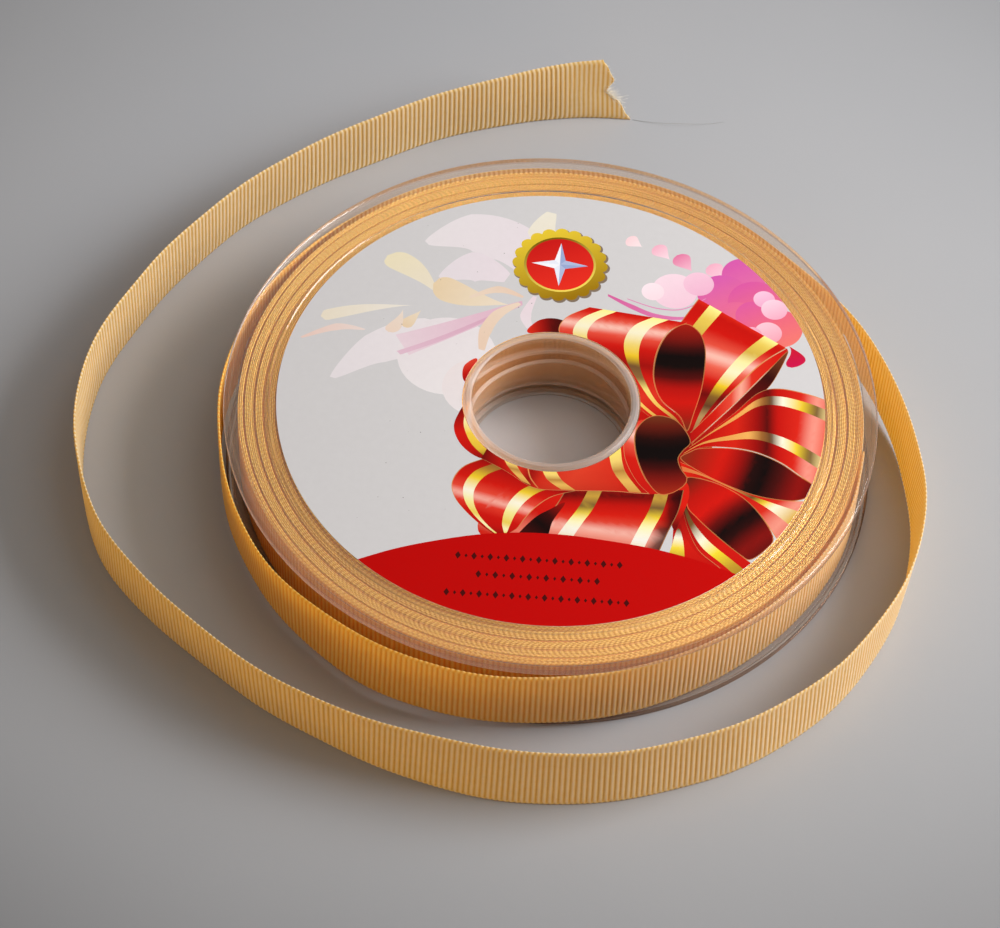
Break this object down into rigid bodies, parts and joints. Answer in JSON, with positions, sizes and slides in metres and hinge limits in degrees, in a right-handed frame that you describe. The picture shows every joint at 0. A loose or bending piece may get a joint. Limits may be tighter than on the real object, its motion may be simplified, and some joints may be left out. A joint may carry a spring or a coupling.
{
  "type": "ribbon spool",
  "caption": "Flat plastic ribbon spool with clear flanges, a printed ring label and grosgrain ribbon whose loose end lies in an open loop around it.",
  "frame": {"origin": "centre of the spool's underside, on the axis of the hub", "axes": "+Z along the hub's axis, towards the labelled flange; the ribbon's cut end lies on the +Y side"},
  "size_m": [0.1456, 0.1558, 0.0162],
  "materials": {
    "clear_plastic_upper": "clear, slightly grey polystyrene",
    "clear_plastic_lower": "clear, slightly grey polystyrene",
    "label_paper": "coated paper, printed in red, gold and pale pink",
    "ribbon_wound": "grosgrain edges, apricot",
    "ribbon_free": "grosgrain, apricot, with cross ribs",
    "tape": "clear adhesive tape"
  },
  "bodies": {
    "spool": {"upper_flange": "clear_plastic_upper", "lower_flange": "clear_plastic_lower", "front_label": "label_paper", "ribbon_pack": "ribbon_wound", "starting_tape": "tape"},
    "loose_ribbon": {"ribbon_tail": "ribbon_free"}
  },
  "joints": [
    {"name": "ribbon_payout", "type": "hinge", "parent": "spool", "child": "loose_ribbon", "pos_m": [0, 0, 0.0081], "axis": [0, 0, 1], "continuous": true}
  ]
}
